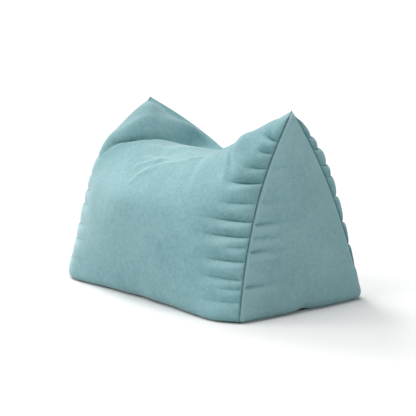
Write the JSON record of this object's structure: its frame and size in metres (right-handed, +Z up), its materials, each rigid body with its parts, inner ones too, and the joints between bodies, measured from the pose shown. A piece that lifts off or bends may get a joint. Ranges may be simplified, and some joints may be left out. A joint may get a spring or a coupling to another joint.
{
  "type": "bean-filled pouf",
  "caption": "Wedge-shaped filled floor pouf in plain velvet-like cloth, with peaked corners, a dipped seat between them and gathered end seams",
  "frame": {"origin": "middle of the floor under the pouf's box, where it stands", "axes": "X runs along the length, from one peak to the other; -Y is the front, the side seen at the left of the picture; +Z is up"},
  "size_m": [0.7764, 0.5072, 0.506],
  "materials": {
    "wrap_cloth": "short velvet nap, matt, light teal",
    "end_cloth": "short velvet nap, matt, light teal",
    "base_cloth": "plain woven cloth, matt, darker teal"
  },
  "bodies": {
    "root": {"body": "wrap_cloth", "end_panel_right": "end_cloth", "end_panel_left": "end_cloth", "base_panel": "base_cloth"}
  },
  "joints": []
}
